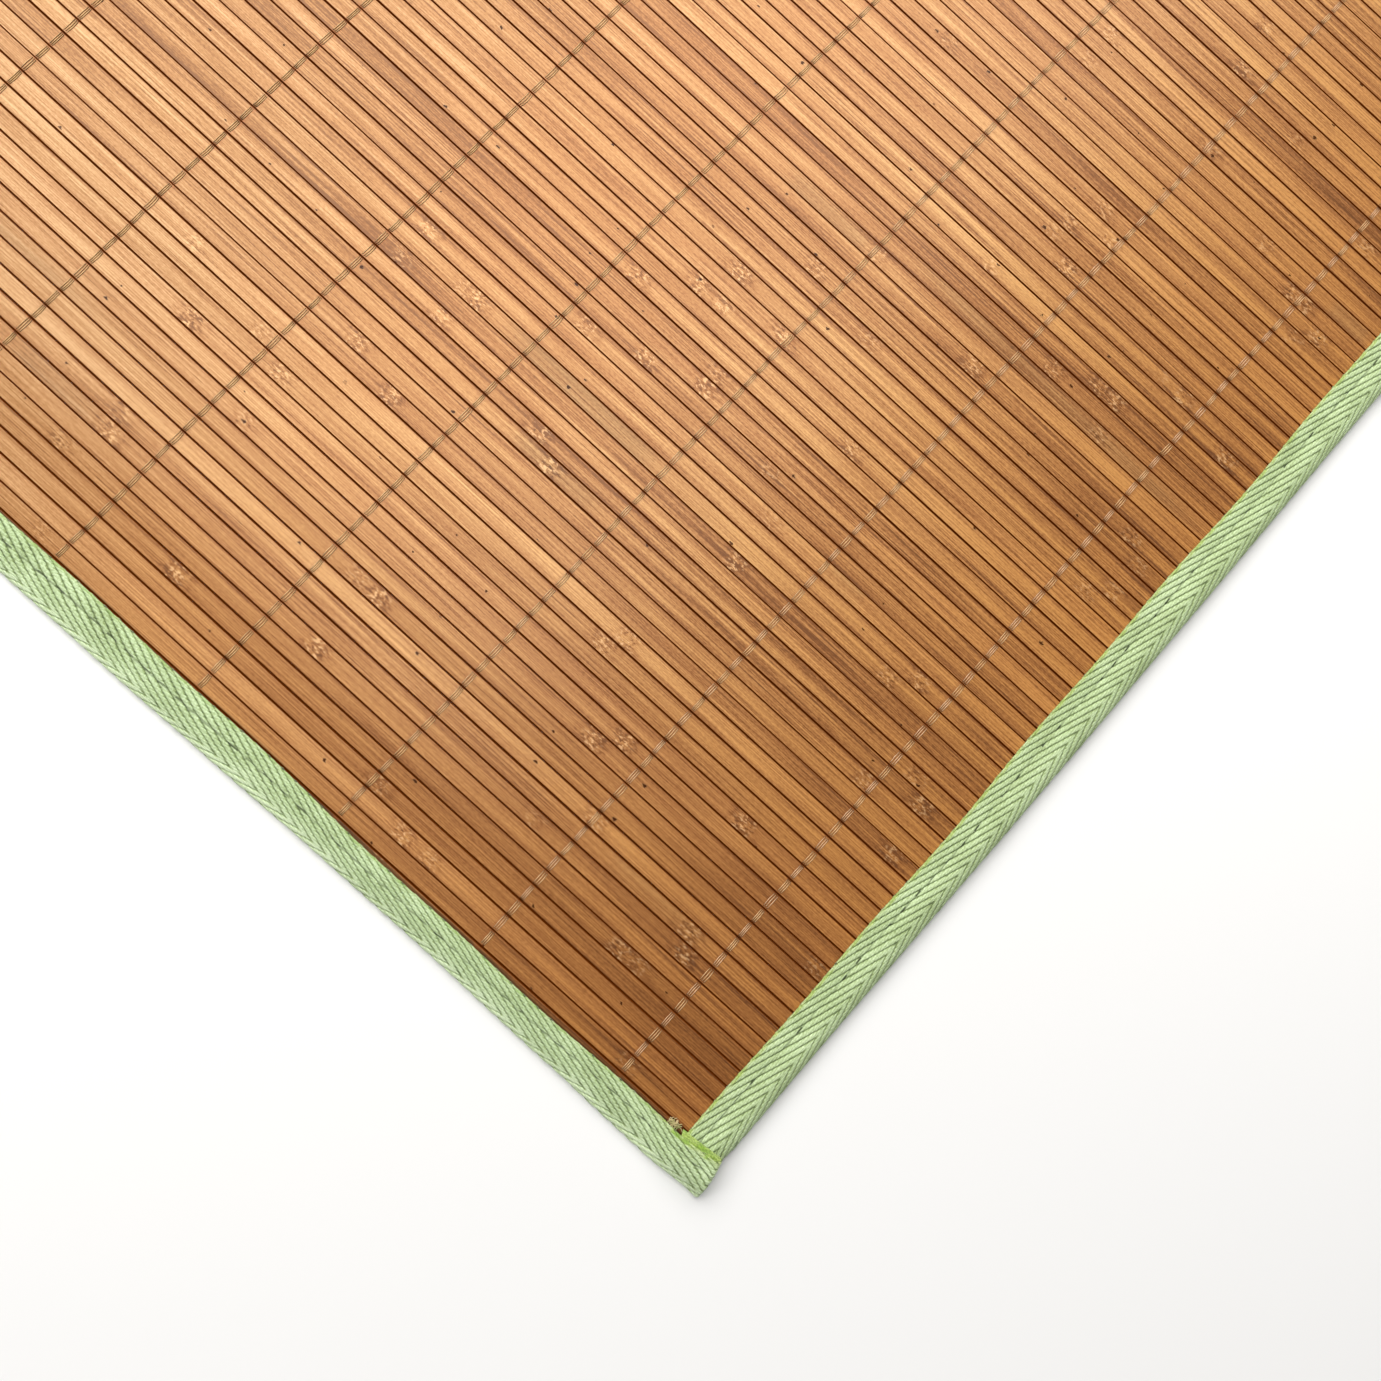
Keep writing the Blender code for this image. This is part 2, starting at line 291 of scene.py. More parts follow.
def bar_faces(rings, sides, first):
    """Faces of a bar with both its ends, its points given ring by ring."""
    faces = [face[::-1] for face in grid_faces(rings, sides, first, close=True)]
    last = first + (rings - 1) * sides
    faces.append(tuple(range(first, first + sides)))
    faces.append(tuple(range(last + sides - 1, last - 1, -1)))
    return faces


# Camera

def camera_axes():
    right = Vector(CAMERA_RIGHT).normalized()
    up = Vector(CAMERA_UP)
    up = (up - right * up.dot(right)).normalized()
    return right, up, right.cross(up)


def camera_place(corner):
    return Vector(corner) + Vector(CAMERA_FROM_CORNER)


def make_camera(corner):
    data = bpy.data.cameras.new("camera")
    data.sensor_width = SENSOR
    data.lens = SENSOR * FOCAL_PX / PICTURE_PX
    data.clip_start = 0.01
    camera = new_object("camera", data)
    right, up, back = camera_axes()
    turn = Matrix((right, up, back)).transposed().to_4x4()
    camera.matrix_world = Matrix.Translation(camera_place(corner)) @ turn
    bpy.context.scene.camera = camera


def on_slats(pixel_x, pixel_y, corner):
    """The point on the slats' faces that the picture shows at a pixel."""
    right, up, back = camera_axes()
    middle = PICTURE_PX / 2
    ray = right * ((pixel_x - middle) / FOCAL_PX) - up * ((pixel_y - middle) / FOCAL_PX) - back
    start = camera_place(corner)
    return start + ray * ((corner[2] - start.z) / ray.z)


# Slats

def slat_edges(panel_y):
    """Y of every line between slats, the same widths as the model's ribs."""
    rng = random.Random(SLAT_SEED)
    widths = [1 + rng.uniform(-SLAT_WIDTH_SPREAD, SLAT_WIDTH_SPREAD) for _ in range(SLAT_COUNT)]
    scale = 2 * panel_y / sum(widths)
    return -panel_y + np.concatenate([[0.0], np.cumsum(widths)]) * scale


def slat_drops():
    rng = random.Random(SLAT_SEED + 1)
    return [rng.uniform(0, SLAT_DROP) for _ in range(SLAT_COUNT)]


def slat_section(thick):
    """Half of a slat's section, from the middle of its underside to the middle of its face.

    Each point is (inset from the slat's side, share of the gap that it also keeps clear, height). An inset
    that is None stands for a point part of the way to the slat's middle.
    """
    return (
        (0.34 * MM, 0.0, 0.0),
        (0.03 * MM, 0.0, 0.13 * MM),
        (0.0, 0.0, 0.50 * MM),
        (0.0, 0.2, thick - 0.34 * MM),
        (0.0, 1.0, thick - 0.14 * MM),
        (0.03 * MM, 1.0, thick - 0.06 * MM),
        (0.10 * MM, 1.0, thick - 0.010 * MM),
        (0.20 * MM, 1.0, thick),
        (None, 0.0, thick + SLAT_CROWN),
    )


def fan(x, y, corner):
    """How far the slats next to the near end tape run askew, growing towards the photographed corner."""
    fade = SLAT_FAN * math.exp(-(y - corner[1]) / SLAT_FAN_FADE)
    return fade * SLAT_FAN_REACH * np.tanh((x - corner[0] + 50 * MM) / SLAT_FAN_REACH)


def slat_points(low, high, z, thick, panel_x, drop, seed, corner, gaps):
    """Points of one slat, station by station, with its gaps, lean and height a little uneven."""
    rng = random.Random(seed)
    x = np.linspace(-panel_x, panel_x, SLAT_STATIONS)
    lengths = (0.21, 0.083, 0.041)
    lean = math.radians(rng.uniform(-SLAT_ROLL, SLAT_ROLL))
    lean = lean + math.radians(SLAT_TWIST) * waves(x, rng.random(), (0.4, 0.17))
    section = slat_section(thick)
    centre, half = (low + high) / 2, (high - low) / 2 - GAP_UNDER
    askew = fan(x, centre, corner)
    columns = []
    for side, gap in ((1, gaps[1]), (-1, gaps[0])):
        clear = np.maximum(gap + GAP_ALONG * waves(x, rng.random(), lengths), 0.02 * MM)
        part = []
        for inset, share, height in section:
            inset = half * 0.7 if inset is None else inset
            part.append((side * (half - inset - share * clear), height, side * (1 - inset / half)))
        columns += part if side > 0 else part[::-1]
    points = np.zeros((SLAT_STATIONS, len(columns), 3))
    across = np.zeros((SLAT_STATIONS, len(columns)))
    for column, (place, height, face_share) in enumerate(columns):
        points[:, column, 0] = x
        points[:, column, 1] = centre + place + askew
        points[:, column, 2] = z + height - drop * height / thick + place * np.tan(lean) * height / thick
        across[:, column] = face_share
    return points.reshape(-1, 3), across.ravel()


def picture_nodes(corner, edges):
    """X and strength of the growth nodes that the picture shows, for each slat that has one there."""
    found = {}
    for pixel_x, pixel_y, strength in NODE_MARKS:
        place = on_slats(pixel_x, pixel_y, corner)
        slat = int(np.searchsorted(edges, place.y)) - 1
        found.setdefault(slat, []).append((place.x, strength))
    return found


def picture_smears(corner, edges):
    found = {}
    for x1, y1, x2, y2, strength in SMEAR_MARKS:
        a, b = on_slats(x1, y1, corner), on_slats(x2, y2, corner)
        slat = int(np.searchsorted(edges, (a.y + b.y) / 2)) - 1
        found[slat] = ((a.x + b.x) / 2, abs(b.x - a.x) / 2, strength)
    return found


def slat_nodes(slat, known, panel_x, rng):
    """Up to three growth nodes of a slat: those that the picture shows, and others an internode away."""
    marks = list(known.get(slat, []))
    if marks:
        first = marks[0][0]
    else:
        first = rng.uniform(-panel_x, -0.1)
        marks = [(first, rng.uniform(0.4, 1.0))]
    for side in (-1, 1):
        other = first + side * NODE_SPACING * rng.uniform(0.88, 1.12)
        if abs(other) < panel_x and len(marks) < 3 and (side < 0 or not known.get(slat)):
            marks.append((other, rng.uniform(0.4, 1.0)))
    while len(marks) < 3:
        marks.append((9.0, 0.0))
    return marks[:3]


def build_slats(corner):
    low_box, high_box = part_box("slat_panel")
    edges = slat_edges(high_box.y)
    drops = slat_drops()
    known, smears = picture_nodes(corner, edges), picture_smears(corner, edges)
    rng = random.Random(21)
    thick = high_box.z - low_box.z
    columns = 2 * len(slat_section(thick))
    gap_rng = random.Random(55)
    gaps = [gap_rng.uniform(GAP_LEAST, GAP_MOST) for _ in range(SLAT_COUNT + 1)]
    points, faces, rows = [], [], []
    hue = 0.0
    for slat in range(SLAT_COUNT):
        body, across = slat_points(edges[slat], edges[slat + 1], low_box.z, thick, high_box.x, drops[slat],
                                   100 + slat, corner, gaps[slat:slat + 2])
        faces += bar_faces(SLAT_STATIONS, columns, slat * len(body))
        points.append(body)
        marks = slat_nodes(slat, known, high_box.x, rng)
        hue = 0.35 * hue + rng.gauss(0, 0.5)
        look = (rng.gauss(0, 0.5), hue, max(0.0, rng.gauss(0.3, 0.45)))
        smear = smears.get(slat)
        if smear is None:
            strength = rng.uniform(0.3, 0.8) if rng.random() < 0.12 else 0.0
            smear = (rng.uniform(-high_box.x, -0.05), rng.uniform(0.015, 0.05), strength)
        count = len(body)
        wide = [np.tile(value, (count, 1)) for value in (look, *zip(*marks), smear)]
        rows.append([across, np.full(count, rng.random()), *wide])
    keys = ("slat_across", "slat_seed", "slat_look", "slat_node_x", "slat_node_power", "slat_smear")
    fields = {key: np.concatenate(values) for key, values in zip(keys, zip(*rows))}
    slats = mesh_object("slats", np.concatenate(points), faces, fields)
    slats.data.set_sharp_from_angle(angle=math.radians(4))
    slats.data.materials.append(bamboo_material())
    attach(slats, "root")
    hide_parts("slat_panel")
    return edges, drops


# Warp threads

def strand_stops(above):
    """Places over a slat where a filament bends: share of the slat's width, height, share of the spread."""
    if above:
        return ((0.0, -THREAD_DIP, STRAND_PINCHED), (0.055, -0.08 * MM, 0.78), (0.14, 0.05 * MM, 0.92),
                (0.5, THREAD_LIFT, 1.0), (0.86, 0.05 * MM, 0.92), (0.945, -0.08 * MM, 0.78))
    return ((0.0, -0.4 * MM, STRAND_PINCHED), (0.1, 0.0, 0.85), (0.5, THREAD_LIFT, 1.0), (0.9, 0.0, 0.85))


def thread_paths(edges, faces_z, x, above, seed, y_limit, corner):
    """Middle lines of a thread's filaments, slat by slat: down into each gap and over each face."""
    rng = random.Random(seed)
    drift_seed = rng.random()
    sign = 1 if above else -1
    sides = [step - (STRANDS - 1) / 2 for step in range(STRANDS)]
    paths = [[] for _ in sides]
    jump = 0.0
    for slat in range(SLAT_COUNT):
        low, high = edges[slat], edges[slat + 1]
        following = 0.3 * jump + rng.uniform(-THREAD_STEP, THREAD_STEP)
        twine = THREAD_TWINE if slat % 2 else -THREAD_TWINE
        spread = STRAND_APART * rng.uniform(0.8, 1.15)
        loose = [rng.uniform(-0.10, 0.10) for _ in sides]
        for share, rise, apart in strand_stops(above):
            y = low + (high - low) * share
            if abs(y) > y_limit:
                continue
            over = math.sin(math.pi * share)
            middle = x + THREAD_DRIFT * float(waves(y, drift_seed, (0.31, 0.12, 0.045)))
            middle += jump + (following - jump) * share + twine * over
            height = faces_z[slat] + sign * rise
            shift = float(fan(x, y, corner))
            # in_gap sets the painted shade on a filament that is down in a gap
            in_gap = max(0.0, 1.3 - 7 * min(share, 1 - share))
            for path, side, free in zip(paths, sides, loose):
                place = middle + spread * (side * apart + free * over)
                path.append((place, y + shift, height, slat % 2, in_gap))
        jump = following
    return [np.array(path) for path in paths]


def build_threads(edges, drops, corner):
    """Each filament is a bar with a few sides; first is where its first side's corner is, in sides."""
    panel_low, panel_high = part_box("slat_panel")
    for above in (True, False):
        if above:
            faces_z = [panel_high.z - drop for drop in drops]
            node, sides, first = "thread_top", 5, 1.25
        else:
            faces_z = [panel_low.z] * SLAT_COUNT
            node, sides, first = "thread_under", 4, 0.5
        material = thread_material(node)
        turn = 2 * math.pi * (np.arange(sides) + first) / sides
        ring = np.stack([STRAND_WIDE * np.cos(turn), 0 * turn, STRAND_HIGH * np.sin(turn)], axis=1)
        for line in range(THREAD_LINES):
            name = f"{node}_{line + 1}"
            y_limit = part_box(name)[1].y + 2 * MM
            brown, contrast = THREAD_TONES[min(line, len(THREAD_TONES) - 1)]
            seed = 300 + line + 50 * above
            paths = thread_paths(edges, faces_z, thread_line(line), above, seed, y_limit, corner)
            points, faces, fields, strand_shades = [], [], [], []
            for number, path in enumerate(paths):
                rings = path[:, None, :3] + ring[None, :, :]
                points.append(rings.reshape(-1, 3))
                faces += bar_faces(len(path), sides, number * len(points[0]))
                around = np.tile(np.arange(sides) / sides, len(path)) + 0.37 * number
                turned = np.clip(brown + contrast * (np.repeat(path[:, 3], sides) - 0.5), 0.0, 1.0)
                fields.append(np.stack([np.repeat(path[:, 1], sides), around, turned], axis=1))
                # Where a filament gets painted shade: at its sides, and more where it is down in a gap
                strand_shades.append(np.tile(np.abs(np.cos(turn)), len(path)) + 2 * np.repeat(path[:, 4], sides))
            fields = {"strand": np.concatenate(fields), "strand_shade": np.concatenate(strand_shades)}
            piece = mesh_object(name + "_strands", np.concatenate(points), faces, fields)
            piece.data.materials.append(material)
            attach(piece, "root")
            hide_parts(name)


# Binding tape

def tape_profile(section):
    """Middle surface of a folded tape's section, smoothed, with the arc length from its upper selvage."""
    keys = np.array(section) * MM
    fine = []
    for i in range(len(keys) - 1):
        a, b = keys[i], keys[i + 1]
        before = keys[max(i - 1, 0)]
        after = keys[min(i + 2, len(keys) - 1)]
        ta, tb = (b - before) / 2, (after - a) / 2
        reach = np.linalg.norm(b - a)
        ta *= min(1.0, 1.3 * reach / max(np.linalg.norm(ta), 1e-9))
        tb *= min(1.0, 1.3 * reach / max(np.linalg.norm(tb), 1e-9))
        for t in np.linspace(0, 1, 24, endpoint=False):
            h = 1 - t
            fine.append(h * h * (1 + 2 * t) * a + t * t * (3 - 2 * t) * b + t * h * h * ta - t * t * h * tb)
    fine.append(keys[-1])
    fine = np.array(fine)
    length = np.concatenate([[0.0], np.cumsum(np.linalg.norm(np.diff(fine, axis=0), axis=1))])
    return fine, length - length[24]


def shear(w, slope):
    """How far along the tape a ridge has come at w across it: out to a spine, back, and out again."""
    w = np.asarray(w, float)
    second = TAPE_WIDTH - SPINE
    return slope * np.where(w < SPINE, w, np.where(w < second, 2 * SPINE - w, 2 * SPINE - 2 * second + w))


def tape_columns():
    """Places across the tape: close together at the selvages, the seam and the fold."""
    seam = [SEAM_IN + step * MM for step in (-1.0, -0.6, -0.3, 0.0, 0.3, 0.6, 1.0)]
    top = [0.0, 0.25 * MM, 0.8 * MM, 1.6 * MM] + seam + [5.3 * MM, 6.3 * MM, SPINE, 8.0 * MM, 8.7 * MM]
    fold = [step * MM for step in (9.3, 9.9, 10.5, 11.1, 11.7, 12.3, 12.9, 13.6, 14.3)]
    under = [TAPE_WIDTH - SPINE, 16.3 * MM, 17.6 * MM, 18.9 * MM, 20.2 * MM, 21.4 * MM, TAPE_WIDTH]
    return np.array(top + fold + under)


def flat_tape(half_length, end_cut, under_trim, seed, folds, slope):
    """The tape laid flat, as a bmesh: x is across it, y along it and z the relief of its ridges.

    folds are lines across the tape that get points of their own: (y at the selvage, y at the fold) of each.
    """
    columns = tape_columns()
    flat_edge = 0.25 + 0.75 * ramp01(np.minimum(columns, TAPE_WIDTH - columns) / (1.0 * MM))
    bend = shear(columns, slope)
    low = math.floor((-half_length - bend.max()) / RIDGE_PITCH) - 1
    high = math.ceil((half_length - bend.min()) / RIDGE_PITCH) + 1
    rng = np.random.default_rng(seed)
    rows, relief = [], []
    for ridge in range(low, high):
        nudge = rng.normal(0, 0.025)
        depth = RIDGE_DEPTH * (1 + rng.normal(0, 0.12))
        for phase, height in zip(RIDGE_ROWS, RIDGE_RELIEF):
            rows.append((ridge + phase + nudge * math.sin(math.pi * phase)) * RIDGE_PITCH)
            relief.append(height * depth)
    rows, relief = np.array(rows), np.array(relief)
    points = np.zeros((len(rows), len(columns), 3))
    points[:, :, 0] = columns
    points[:, :, 1] = rows[:, None] + bend[None, :]
    points[:, :, 2] = relief[:, None] * flat_edge[None, :]
    bm = bmesh.new()
    phase_layer = bm.verts.layers.float.new("phase")
    made = [bm.verts.new(p) for p in points.reshape(-1, 3)]
    for vert, row in zip(made, np.repeat(rows, len(columns))):
        vert[phase_layer] = row
    for face in grid_faces(len(rows), len(columns)):
        bm.faces.new([made[i] for i in face])
    for sign in (-1, 1):
        cut(bm, bm.faces[:], (0, sign * half_length, 0), (0, sign, 0), clear=True)
        if under_trim:
            part = [f for f in bm.faces if min(v.co.x for v in f.verts) > end_cut - 1e-6]
            cut(bm, part, (0, sign * under_trim, 0), (0, sign, 0), clear=True)
    middle = TOP_SHARE * TAPE_WIDTH
    for at_selvage, at_fold in folds:
        near = min(abs(at_selvage), abs(at_fold)) - 8 * MM
        for upper in (True, False):
            part = []
            for face in bm.faces:
                centre = face.calc_center_median()
                if (centre.x < middle) == upper and centre.y * at_fold > 0 and abs(centre.y) > near:
                    part.append(face)
            tilt = (at_fold - at_selvage) / middle * (1 if upper else -1)
            cut(bm, part, (0, at_selvage, 0) if upper else (middle, at_fold, 0), (-tilt, 1, 0))
    return bm, phase_layer


def cut(bm, faces, through, normal, clear=False):
    """Parts the faces along a plane. clear takes away what lies on the side that its normal points to."""
    verts = dict.fromkeys(v for f in faces for v in f.verts)
    edges = dict.fromkeys(e for f in faces for e in f.edges)
    bmesh.ops.bisect_plane(bm, geom=[*verts, *edges, *faces], dist=1e-7, plane_co=through,
                           plane_no=normal, clear_outer=clear)


def seam_away(w, s, seed):
    """Distance across the tape from its seam, which wanders a little."""
    return w - SEAM_IN - SEAM_WANDER * waves(s, seed + 5, (0.19, 0.071))


def seam_depth(w, s, seed):
    """How deep the seam draws the cloth in: a trough, deeper at every needle hole."""
    away = seam_away(w, s, seed) / SEAM_WIDE
    hole = np.abs(np.cos(math.pi * s / STITCH)) ** 6
    return SEAM_DEPTH * np.exp(-away * away) * (0.45 + 0.9 * hole)


def tape_ends(w, s, spec):
    """For each point of the tape: where its end of the tape is folded in, and the other numbers of ENDS."""
    ends = np.array(spec["ends"]) * MM
    mine = ends[(s > 0).astype(int)]
    middle = TOP_SHARE * TAPE_WIDTH
    to_fold = np.where(w < middle, w, 2 * middle - w) / middle
    half = spec["half"] + mine[:, 0] + (mine[:, 1] - mine[:, 0]) * to_fold
    return half, mine[:, 2], mine[:, 3]


def bend_tape(flat, phase, spec):
    """Takes points of the flat tape to where they lie on the rug, for a tape along +Y at the side +X."""
    w, s, relief = flat[:, 0], flat[:, 1], flat[:, 2]
    seed = spec["seed"]
    profile, length = spec["profile"]
    fold = spec["turn_radius"]
    half, draw, peek = tape_ends(w, s, spec)
    beyond = np.abs(s) - half
    angle = np.clip(beyond / max(fold, 1e-9), 0, math.pi)
    inside = np.where(beyond > 0, fold * (1 - np.cos(angle)), 0.0)
    back = np.maximum(beyond - math.pi * fold, 0.0)
    along = np.where(beyond > 0, half + fold * np.sin(angle) - back, np.abs(s)) * np.sign(s)
    slide = EDGE_WAVE * (np.sin(2 * math.pi * along / EDGE_WAVE_SLOW + spec["phase"])
                         + np.sin(2 * math.pi * along / EDGE_WAVE_QUICK + 2 * spec["phase"])) / 2
    corner = ramp01((np.abs(s) - spec["half"] + 13 * MM) / (11 * MM))
    peek = peek * ramp01(angle / math.pi) * (1 - back / (TURN_IN + 2.5 * MM))
    spread = ramp01((120 * MM - along) / (100 * MM)) * ramp01((along + 0.2) / 0.1)
    slide = slide - (draw * 0.55 * corner + peek) * ramp01(1.3 - w / (8 * MM))
    by_selvage = ramp01(1.1 - w / (3 * MM))
    by_seam = ramp01((w - 1 * MM) / (3 * MM)) * ramp01(2 - w / (4 * MM))
    slide = slide - spec["bulge"][0] * spread * (by_selvage - by_seam)
    selvage = np.exp(-np.minimum(w, TAPE_WIDTH - w) / (0.5 * MM))
    ragged = 0.045 * MM * waves(s, seed + 9, (0.0023, 0.0041, 0.0013), 0.9) * selvage
    inner, outer = spec["squeeze"]
    u = np.minimum(w, SEAM_IN) * inner + np.maximum(w - SEAM_IN, 0.0) * outer
    u = u + slide + np.where(w < TAPE_WIDTH / 2, ragged, -ragged)
    out = np.interp(u, length, profile[:, 0])
    z = np.interp(u, length, profile[:, 1])
    ahead, behind = u + 0.05 * MM, u - 0.05 * MM
    tx = np.interp(ahead, length, profile[:, 0]) - np.interp(behind, length, profile[:, 0])
    tz = np.interp(ahead, length, profile[:, 1]) - np.interp(behind, length, profile[:, 1])
    norm = np.maximum(np.hypot(tx, tz), 1e-12)
    nx, nz = -tz / norm, tx / norm
    top = profile[:, 1].max()
    upper = ramp01((z - 0.8 * MM) / (top - 1.6 * MM))
    z = z + upper * spec["rise"](along)
    puff = 0.10 * MM * waves(along, seed + 2, (0.09, 0.037)) * ramp01((u - 4 * MM) / (2 * MM)) * upper
    slack = FOLD_SLACK * ((1 + np.sin(2 * math.pi * along / FOLD_WAVE + spec["phase"])) / 2 - 1)
    by_fold = ramp01((out + 4.5 * MM) / (4.5 * MM))
    slack = slack + spec["bulge"][1] * spread * (0.35 * ramp01((out + 7 * MM) / (4 * MM)) + 0.65)
    lift = (relief - seam_depth(w, s, seed) * upper) * np.cos(angle) + puff - inside
    out = out + nx * lift + slack * by_fold - draw * 0.45 * corner
    z = z + nz * lift
    shown = np.stack([spec["reach"] + out, along, z], axis=1)
    shown[:, 1] += np.where(beyond > 0, np.sin(angle) * relief * 0.5, 0.0) * np.sign(s)
    fields = {"cloth": np.stack([w, s, phase], axis=1),
              "inside": np.where(beyond > math.pi * fold / 2, 1.0, 0.0),
              "seam": seam_away(w, s, seed)}
    return shown, fields


def build_tape(name, reach, half, turn, phase, seed, section, squeeze, ends, rise):
    """One binding tape. Its own +Y is along it and its own +X is outwards; turn takes it to its side.

    ends is None for a tape whose cut ends lie flat under the other tapes.
    """
    profile = tape_profile(section)
    lapped = ends is not None
    fold = TAPE_THICK / 2 + 0.02 * MM if lapped else 0.0
    flat_half = half + (math.pi * fold + TURN_IN if lapped else 0.0)
    under = int(np.argmax(profile[0][:, 1] < 1.6 * MM))
    folds = []
    for sign, end in zip((-1, 1), ends or ()):
        for step in np.linspace(0, math.pi * fold, 7):
            folds.append((sign * (half + end[0] * MM + step), sign * (half + end[1] * MM + step)))
    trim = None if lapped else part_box("end_tape_far")[1].y - UNDER_TRIM
    bm, layer = flat_tape(flat_half, profile[1][under] / squeeze[1], trim, seed, folds, RIDGE_SLOPE[lapped])
    flat = np.array([v.co for v in bm.verts])
    phases = np.array([v[layer] for v in bm.verts])
    bm.verts.ensure_lookup_table()
    bm.verts.index_update()
    faces = [tuple(v.index for v in f.verts) for f in bm.faces]
    bm.free()
    spec = {"half": half, "seed": seed, "profile": profile, "turn_radius": fold, "phase": phase,
            "reach": reach, "squeeze": squeeze, "ends": ends or ((9.0, 9.0, 0.0, 0.0),) * 2, "rise": rise,
            "bulge": NEAR_BULGE if name == "end_tape_near" else (0.0, 0.0)}
    points, fields = bend_tape(flat, phases, spec)
    turned = Matrix.Rotation(math.radians(turn), 3, "Z")
    points = points @ np.array(turned).T
    tape = mesh_object(name + "_cloth", points, faces, fields)
    wall = tape.modifiers.new("thickness", "SOLIDIFY")
    wall.thickness = TAPE_THICK
    wall.offset = 0.0
    wall.use_even_offset = False
    tape.data.materials.append(tape_material(name))
    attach(tape, "root")
    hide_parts(name)


def build_tuft(face_z):
    """Loose ends of yarn that stick out from under the near end tape beside the photographed corner."""
    rng = random.Random(8)
    points, faces, tips = [], [], []
    for _ in range(TUFT_YARNS):
        heading = math.radians(rng.gauss(115, 42))
        length, bow = rng.uniform(0.5, 1.7) * MM, rng.uniform(-2.4, 2.4)
        x, y = TUFT_PLACE[0] + rng.uniform(-1.2, 1.2) * MM, TUFT_PLACE[1] - rng.uniform(0.3, 0.9) * MM
        radius = rng.uniform(0.09, 0.17) * MM
        first = len(points)
        for step in range(TUFT_STATIONS):
            share = step / (TUFT_STATIONS - 1)
            width = radius * (1.0 - 0.3 * share)
            height = face_z + 0.15 * MM + rng.uniform(0.0, 0.3) * MM * share
            height += 0.2 * MM * math.sin(math.pi * share)
            for side in range(4):
                turn = math.pi / 2 * side
                out = width * math.cos(turn)
                points.append((x - out * math.sin(heading), y + out * math.cos(heading),
                               height + width * math.sin(turn)))
                tips.append(share)
            heading += bow * 0.3
            x += length / (TUFT_STATIONS - 1) * math.cos(heading)
            y += length / (TUFT_STATIONS - 1) * math.sin(heading)
        faces += grid_faces(TUFT_STATIONS, 4, first, close=True)
        faces.append(tuple(range(len(points) - 4, len(points))))
    tuft = mesh_object("tuft", points, faces, {"tip": tips})
    tuft.data.materials.append(tuft_material())
    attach(tuft, "root")


def build_tapes():
    rug_x, rug_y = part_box("end_tape_far")[1][:2]
    panel_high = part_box("slat_panel")[1]

    def no_rise(along):
        return np.zeros_like(along)

    def lap_rise(along):
        onto = ramp01((np.abs(along) - (rug_x - 17.0 * MM)) / (6 * MM))
        end = ramp01((np.abs(along) - (rug_x - TURN_IN - 3 * MM)) / (3 * MM))
        return onto * (TAPE_THICK + 0.25 * MM) + end * (TAPE_THICK + 0.05 * MM)

    for name, turn, phase, seed in (("side_tape_right", 0, 0.4, 31), ("side_tape_left", 180, 2.9, 32)):
        build_tape(name, rug_x, panel_high.y, turn, phase, seed, SIDE_SECTION,
                   (SIDE_SQUEEZE, SIDE_SQUEEZE), None, no_rise)
    for name, turn, phase, seed, ends in (("end_tape_near", -90, NEAR_PHASE, 33, NEAR_ENDS),
                                          ("end_tape_far", 90, 4.6, 34, FAR_ENDS)):
        build_tape(name, rug_y, rug_x, turn, phase, seed, END_SECTION,
                   (END_SQUEEZE, END_SQUEEZE_OUTER), ends, lap_rise)


# Materials

